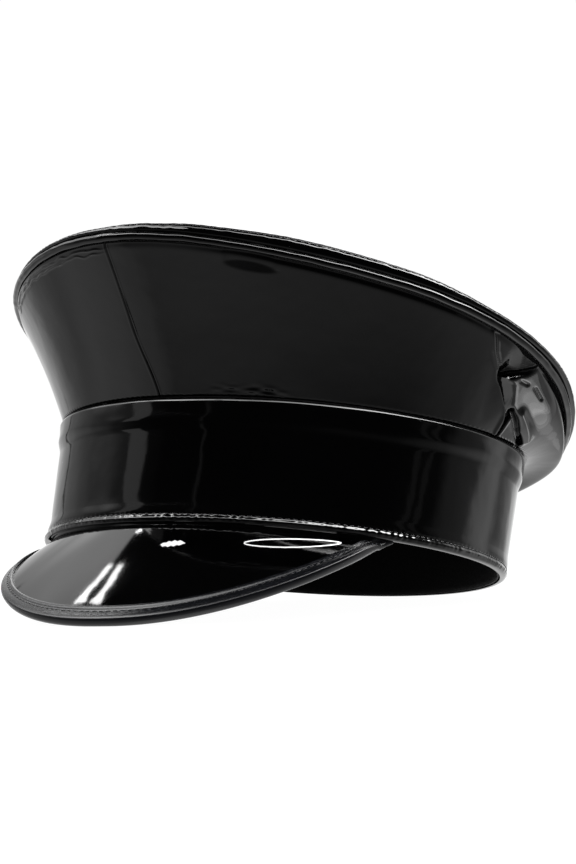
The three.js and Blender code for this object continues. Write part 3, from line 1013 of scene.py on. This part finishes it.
def stitch_row(name, points, normals, closed, spacing, seed):
    """A row of stitches along points of the hat's own frame, lying flat on the cloth there."""
    count = len(points)
    edges = [(i, (i + 1) % count) for i in range(count if closed else count - 1)]
    mesh = bpy.data.meshes.new(name + "_line")
    mesh.from_pydata(in_place(points).tolist(), edges, [])
    cloth_normal = mesh.attributes.new("cloth_normal", "FLOAT_VECTOR", "POINT")
    cloth_normal.data.foreach_set("vector", in_place_direction(normals).ravel())
    row = new_object(name, mesh)
    modifier = row.modifiers.new("stitches", "NODES")
    modifier.node_group = stitching
    sizes = {"Spacing": spacing * MM, "Seed": seed}
    sizes.update({side: size * MM for side, size in stitch.items()})
    for item in stitching.interface.items_tree:
        if item.in_out == "INPUT" and item.name in sizes:
            modifier[item.identifier] = sizes[item.name]
    evaluated = row.evaluated_get(bpy.context.evaluated_depsgraph_get())
    row.data = bpy.data.meshes.new_from_object(evaluated)
    row.data.name = name
    row.modifiers.clear()
    finish_piece(row, [], "patent_vinyl")


ring = full_turn(720)[:, 0]
hem_line = band_point(ring, 0 * ring + hem_stitch_height, 0 * ring + hem_stitch_out)
stitch_row("hem_stitches", hem_line, outward(ring), True, stitch_spacing, 1)
top_line = top_edge_point(ring, 0 * ring + top_stitch["out"], 0 * ring + top_stitch["up"])
stitch_row("crown_top_stitches", top_line, rim_out(ring), True, stitch_spacing, 3)
places = peak_places(300)[10:-10, 0]
row_back = 0 * places + stitch_back
row_up = (peak["wall"] / 2 + tape["clear"] + tape["wall"]) * peak_thinned(places, row_back)
binding_normal = peak_normal(places, row_back)
binding_line = peak_point(places, row_back) + binding_normal * (row_up - binding_stitch_sunk)[..., None]
stitch_row("binding_stitches", binding_line, binding_normal, False, binding_stitch_spacing, 4)


# Studio
# A pale floor under a white backdrop. What the black gloss mirrors is a surround of its own, dark towards
# the camera and bright behind the hat, with lamps of several shapes. Two softboxes light the dull cloth.
surround_radius = 7.5
backdrop_radius = 8.0
backdrop_brightness = 1.02
floor_half_width = 7.4
floor_brightness = 0.985
air_brightness = 0.55
lamp_distance = {"strip": 7.2, "lone": 2.0}
lamp_target = (0, 0, 0.07)


def direction(azimuth, elevation):
    """The direction at an azimuth and an elevation in degrees: 0 is the hat's front and 90 its right."""
    a, e = np.radians(azimuth), np.radians(elevation)
    return vectors(np.sin(a) * np.cos(e), -np.cos(a) * np.cos(e), np.sin(e))


def stage_piece(name, corners, faces, material, seen_by):
    """A part of the studio that only the camera or only the gloss sees. It throws no shadow."""
    mesh = bpy.data.meshes.new(name)
    mesh.from_pydata(corners, [], faces)
    mesh.materials.append(material)
    piece = new_object(name, mesh)
    piece.visible_camera = seen_by == "camera"
    piece.visible_glossy = seen_by == "gloss"
    piece.visible_diffuse = False
    piece.visible_transmission = False
    piece.visible_volume_scatter = False
    piece.visible_shadow = False
    return piece


def glowing(name, strength, attribute=None):
    """A plain glow, as bright at each place as the attribute says, if one is named."""
    material = bpy.data.materials.new(name)
    material.use_nodes = True
    material.cycles.emission_sampling = "NONE"
    nodes, links = material.node_tree.nodes, material.node_tree.links
    nodes.remove(nodes["Principled BSDF"])
    glow = tuned(nodes.new("ShaderNodeEmission"), Strength=strength)
    links.new(glow.outputs["Emission"], nodes["Material Output"].inputs["Surface"])
    if attribute:
        reader = nodes.new("ShaderNodeAttribute")
        reader.attribute_name = attribute
        links.new(reader.outputs["Color"], glow.inputs["Color"])
    return material


def sphere_grid(radius, columns, rows):
    azimuth = np.linspace(-180, 180, columns, endpoint=False)[:, None]
    elevation = np.linspace(-89.9, 89.9, rows)[None, :]
    corners = direction(azimuth, elevation) * radius
    faces = grid_faces(columns, rows, True, False).tolist()
    return azimuth, elevation, corners.reshape(-1, 3).tolist(), faces


# azimuth round the hat, 0 towards its front and 90 towards its right, then the surround's brightness at
# each elevation of the next list, from below the horizon upwards
surround = np.array([
    (-180, 1.40, 0.90, 0.70, 0.45, 0.30, 0.30, 0.80, 2.60, 3.00, 3.20, 3.20),
    (-172, 1.40, 0.90, 0.80, 0.80, 0.80, 0.80, 1.20, 2.80, 3.20, 3.40, 3.40),
    (-160, 1.40, 0.90, 0.85, 0.85, 0.90, 0.95, 1.50, 3.20, 3.50, 3.50, 3.40),
    (-145, 1.40, 0.85, 0.80, 0.80, 0.85, 0.90, 1.40, 3.20, 3.50, 3.50, 3.40),
    (-136, 1.40, 0.80, 0.75, 0.70, 0.75, 0.85, 0.80, 1.00, 2.20, 4.00, 4.20),
    (-121, 1.40, 0.75, 0.60, 0.50, 0.55, 0.75, 0.55, 0.60, 1.00, 2.40, 3.20),
    (-110, 1.40, 0.70, 0.50, 0.34, 0.36, 0.65, 0.34, 0.40, 0.90, 1.50, 1.75),
    (-92, 1.40, 0.65, 0.50, 0.33, 0.36, 0.60, 0.30, 0.30, 0.80, 1.75, 2.10),
    (-76, 1.40, 0.60, 0.56, 0.50, 0.45, 0.50, 0.22, 0.20, 0.40, 1.50, 2.10),
    (-62, 1.40, 0.58, 0.56, 0.50, 0.30, 0.20, 0.10, 0.12, 0.14, 0.20, 0.40),
    (-40, 1.40, 0.46, 0.42, 0.30, 0.10, 0.05, 0.02, 0.02, 0.03, 0.03, 0.03),
    (-28, 1.40, 0.45, 0.22, 0.12, 0.05, 0.02, 0.01, 0.01, 0.01, 0.01, 0.01),
    (90, 1.40, 0.42, 0.22, 0.12, 0.05, 0.02, 0.01, 0.01, 0.01, 0.01, 0.01),
    (120, 1.40, 0.55, 0.30, 0.22, 0.12, 0.03, 0.02, 0.02, 0.02, 0.02, 0.02),
    (130, 1.40, 0.65, 0.40, 0.35, 0.20, 0.14, 0.13, 0.12, 0.10, 0.10, 0.10),
    (142, 1.40, 0.80, 0.60, 0.50, 0.30, 0.17, 0.16, 0.14, 0.20, 0.50, 0.50),
    (150, 1.40, 0.85, 0.70, 0.65, 0.60, 0.58, 0.50, 0.90, 1.60, 2.00, 2.00),
    (157, 1.40, 0.85, 0.65, 0.60, 0.60, 0.60, 0.60, 1.60, 2.50, 3.00, 3.00),
    (166, 1.40, 0.85, 0.60, 0.40, 0.25, 0.20, 0.50, 2.40, 3.00, 3.20, 3.20),
    (180, 1.40, 0.90, 0.70, 0.45, 0.30, 0.30, 0.80, 2.60, 3.00, 3.20, 3.20),
])
surround_elevations = np.array([-70, -62, -35, -22, -13, -5, 8, 20, 27, 38, 50])

# azimuth, then the elevation above which the surround is black, but for the panels
black_above = np.array([
    (-180, 46),
    (-150, 50),
    (-104, 56),
    (-90, 54.5),
    (-83, 52.5),
    (-79, 47),
    (-66, 40),
    (150, 40),
    (165, 46),
    (180, 46),
])

# small panels in it: azimuth and its half width, the lowest and highest elevation, brightness, soft edge
surround_panels = [
    (-52, 6.5, 14, 44, 0.50, 1.0),
    (-3, 0.9, 10, 60, 0.12, 0.6),
    (110.5, 1.4, -14, 30, 0.09, 0.6),
    (115.5, 1.2, -14, 30, 0.09, 0.6),
    (-116, 0.9, -6, 25, 0.08, 0.7),
]

# an arched lamp over the hat that draws the bright lines along its rim: azimuth, elevation, half its height
# and brightness
arch_lamp = np.array([
    (-104, 26, 2.5, 3),
    (-80, 37, 3, 4),
    (-64, 43, 4, 12),
    (-49, 48.6, 6, 14),
    (-13, 57, 6, 9),
    (30, 60, 6, 7),
    (73, 57, 6, 12),
    (109, 48.6, 6, 20),
    (138, 38, 6, 20),
    (152, 32, 6, 14),
])


def surround_dome():
    azimuth, elevation, corners, faces = sphere_grid(surround_radius, 480, 260)
    rows = eased(surround, azimuth[:, 0])
    bright = np.stack([np.interp(elevation[0], surround_elevations, row) for row in rows])
    edge = np.interp(azimuth, black_above[:, 0], black_above[:, 1])
    bright = bright + (0.012 - bright) * smoothstep(edge, edge + 1.5, elevation)
    middle, half, level = (np.interp(azimuth, arch_lamp[:, 0], arch_lamp[:, k]) for k in (1, 2, 3))
    arch = within(elevation, middle - half, middle + half, 1.5)
    arch = arch * within(azimuth, arch_lamp[0, 0], arch_lamp[-1, 0], 2.0)
    bright = bright + (level - bright) * arch
    for centre, half, low, high, level, soft in surround_panels:
        panel = within(azimuth, centre - half, centre + half, soft) * within(elevation, low, high, soft)
        bright = bright + (level - bright) * panel
    dome = stage_piece("surround", corners, faces, glowing("surround_glow", 1.0, "brightness"), "gloss")
    colours = dome.data.color_attributes.new("brightness", "FLOAT_COLOR", "POINT")
    flat = bright.reshape(-1, 1)
    colours.data.foreach_set("color", np.concatenate([flat, flat, flat, flat * 0 + 1], axis=1).ravel())


# lamps whose shapes show in the peak: the seed of their fraying, and outlines as azimuth and elevation
strip_lamp_brightness = 20.0
strip_lamps = {
    "left_strip_lamp": (15, [
        (-79, 46.5), (-81.5, 49), (-82.2, 50.2), (-84.5, 52), (-88, 53.6),
        (-85, 54.6), (-82, 53), (-79.6, 51.8), (-78.4, 50.4), (-75, 49.4),
    ]),
    "right_strip_lamp": (16, [
        (-72.5, 50.4), (-74, 53), (-76.4, 54.4), (-80.5, 55.4), (-84.5, 56.6),
        (-82, 58), (-77, 57), (-73.4, 56), (-71.8, 54.6), (-67, 53),
    ]),
    "left_spark_lamp": (15, [(-101, 56), (-104, 57.4), (-102.5, 59.4), (-100.6, 59.6), (-100.4, 58)]),
}


def frayed(outline, seed, steps=5, fray=0.3):
    """An outline with more points, each moved a little at random, as a crinkled sheet would show it."""
    rng = np.random.default_rng(seed)
    outline = np.array(outline, float)
    share = np.linspace(0, 1, steps, endpoint=False)[None, :, None]
    dense = (outline[:, None] * (1 - share) + np.roll(outline, -1, axis=0)[:, None] * share).reshape(-1, 2)
    return dense + rng.uniform(-fray, fray, dense.shape) * [1.6, 1.0]


def strip_lamp(name, seed, outline):
    corners = direction(*frayed(outline, seed).T) * lamp_distance["strip"]
    glow = glowing(name + "_glow", strip_lamp_brightness)
    stage_piece(name, corners.tolist(), [tuple(range(len(corners)))], glow, "gloss")


# lamps that hang close over the peak, in millimetres of the hat's own frame: a ring that is a bowed oval of
# tube, and a jagged oval patch. Each has a middle, and how far it reaches along and across from there.
ring_lamp = {
    "middle": (54.55, -83.26, -3.06),
    "along": (12.38, 14.37, 1.56),
    "across": (1.84, -0.95, -1.6),
    "bow": (-1.02, 0.78, 0.05),
    "tube": 0.22,
    "brightness": 20.0,
}
spark_lamp = {
    "middle": (16.3, -107.5, -5.9),
    "along": (4.8, 1.3, 0.4),
    "across": (-0.38, 1.03, 1.3),
    "skew": 0.3,
    "between_teeth": 0.62,
    "brightness": 18.0,
}


def tube(line, radius, sides=8):
    """The corners and faces of a closed tube round a line of points."""
    ahead = unit(np.roll(line, -1, axis=0) - np.roll(line, 1, axis=0))
    aside = unit(np.cross(ahead, [0, 0, 1.0]))
    above = np.cross(aside, ahead)
    turn = np.linspace(0, 2 * np.pi, sides, endpoint=False)[None, :, None]
    corners = line[:, None] + (aside[:, None] * np.cos(turn) + above[:, None] * np.sin(turn)) * radius
    return corners.reshape(-1, 3), grid_faces(len(line), sides, True, True).tolist()


def shines_on(lamp, name):
    """The lamp lights that one piece alone."""
    lit = bpy.data.collections.new(lamp.name + "_lights")
    lit.objects.link(bpy.data.objects[name])
    lamp.light_linking.receiver_collection = lit


def near_lamp(name, corners, faces, brightness):
    """A lamp close over the peak that lights the peak alone."""
    glow = glowing(name + "_glow", brightness)
    shines_on(stage_piece(name, in_place(corners).tolist(), faces, glow, "gloss"), "peak_sheet")


def ring_over_peak():
    t = np.radians(full_turn(24))
    terms = zip(("along", "across", "bow"), (np.cos(t), np.sin(t), np.cos(2 * t)))
    line = np.array(ring_lamp["middle"]) + sum(np.array(ring_lamp[name]) * wave for name, wave in terms)
    near_lamp("ring_lamp", *tube(line, ring_lamp["tube"]), ring_lamp["brightness"])


def spark_over_peak():
    there, back = np.linspace(1, -1, 10)[:-1], np.linspace(-1, 1, 10)[:-1]
    along = np.concatenate([there, back])[:, None]
    side = np.repeat([1, -1], 9)[:, None]
    teeth = np.tile([1, spark_lamp["between_teeth"]], 9)[:, None]
    across = side * teeth * np.sqrt(1 - along**2) * (1 + spark_lamp["skew"] * along * side)
    corners = along * np.array(spark_lamp["along"]) + across * np.array(spark_lamp["across"])
    corners = corners + np.array(spark_lamp["middle"])
    near_lamp("spark_lamp", corners, [tuple(range(len(corners)))], spark_lamp["brightness"])


def area_lamp(name, shape, azimuth, elevation, width, height, distance, brightness):
    """A flat lamp that faces the hat and that the camera doesn't see."""
    light = bpy.data.lights.new(name, "AREA")
    light.shape = shape
    light.size, light.size_y = width, height
    filled = math.pi / 4 if shape == "ELLIPSE" else 1
    light.energy = brightness * math.pi * width * height * filled
    lamp = new_object(name, light)
    away = Vector(direction(azimuth, elevation))
    lamp.location = Vector(lamp_target) + away * distance
    lamp.rotation_mode = "QUATERNION"
    lamp.rotation_quaternion = away.to_track_quat("Z", "Y")
    lamp.visible_camera = False
    return lamp


# lamps that light the dull cloth, and that the gloss doesn't see: azimuth and elevation, width, height and
# distance in metres, brightness
softboxes = {
    "overhead_softbox": (40, 76, 1.5, 0.9, 2.3, 3.4),
    "back_softbox": (180, 52, 1.6, 0.8, 2.2, 1.6),
}

# oval lamps that one piece alone mirrors: its name, azimuth and elevation, width and height in degrees,
# brightness
lone_lamps = [
    ("crown_top_panel", -46, 28, 52, 15, 9.0),
    ("crown_top_panel", -12, 36, 50, 13, 9.0),
    ("crown_back_right_panel", 133, -36, 27, 21, 0.7),
    ("crown_back_right_panel", 133, -37.5, 21, 16, 0.8),
    ("crown_back_right_panel", 133, -39, 15, 12, 0.8),
    ("crown_back_right_panel", 158, -40, 46, 17, 0.35),
    ("crown_back_right_panel", 157, -41, 38, 13, 0.45),
    ("crown_back_right_panel", 155, -42, 28, 9, 0.6),
]


def lone_lamp(name, lit, azimuth, elevation, width, height, brightness):
    distance = lamp_distance["lone"]
    across, up = (2 * distance * math.tan(math.radians(angle / 2)) for angle in (width, height))
    lamp = area_lamp(name, "ELLIPSE", azimuth, elevation, across, up, distance, brightness)
    lamp.visible_diffuse = False
    shines_on(lamp, lit)


def pale_floor():
    material = bpy.data.materials.new("floor_white")
    material.use_nodes = True
    material.cycles.emission_sampling = "NONE"
    shader = material.node_tree.nodes["Principled BSDF"]
    tuned(shader, Base_Color=(0.14, 0.14, 0.14, 1), Roughness=0.9, Specular_IOR_Level=0.0)
    tuned(shader, Emission_Color=(1, 1, 1, 1), Emission_Strength=floor_brightness)
    w = floor_half_width
    corners = [(-w, -w, 0), (w, -w, 0), (w, w, 0), (-w, w, 0)]
    stage_piece("floor", corners, [(0, 1, 2, 3)], material, "camera")


surround_dome()
for name, (seed, outline) in strip_lamps.items():
    strip_lamp(name, seed, outline)
for number, row in enumerate(lone_lamps):
    lone_lamp(f"lone_lamp_{number}", *row)
ring_over_peak()
spark_over_peak()
glow = glowing("backdrop_white", backdrop_brightness)
stage_piece("backdrop", *sphere_grid(backdrop_radius, 64, 32)[2:], glow, "camera")
pale_floor()
for name, row in softboxes.items():
    area_lamp(name, "RECTANGLE", *row).visible_glossy = False

world = bpy.data.worlds.new("studio_air")
bpy.context.scene.world = world
world.use_nodes = True
tuned(world.node_tree.nodes["Background"], Color=(1, 1, 1, 1), Strength=air_brightness)
bpy.context.scene.view_settings.view_transform = "Standard"


# Camera
# At the photograph's angle to the hat: a long lens, a little below the crown, with a slight roll.
camera_at = {"azimuth": 30.357, "elevation": -9.942, "roll": -3.261, "distance": 1208.4, "lens": 126.09}
camera_target = (0.29, 0, 52.5)


def photo_camera():
    away = direction(camera_at["azimuth"], camera_at["elevation"])
    ahead = Vector(in_place_direction(-away))
    level = Vector(in_place_direction(direction(camera_at["azimuth"] + 90, 0)))
    right = Matrix.Rotation(math.radians(camera_at["roll"]), 3, ahead) @ level
    data = bpy.data.cameras.new("photo_camera")
    data.lens = camera_at["lens"]
    data.sensor_width = 36
    data.clip_start, data.clip_end = 0.01, 40
    camera = new_object("photo_camera", data)
    camera.matrix_world = Matrix((right, right.cross(ahead), -ahead)).transposed().to_4x4()
    camera.location = Vector(in_place(np.array(camera_target) + away * camera_at["distance"]))
    bpy.context.scene.camera = camera


photo_camera()
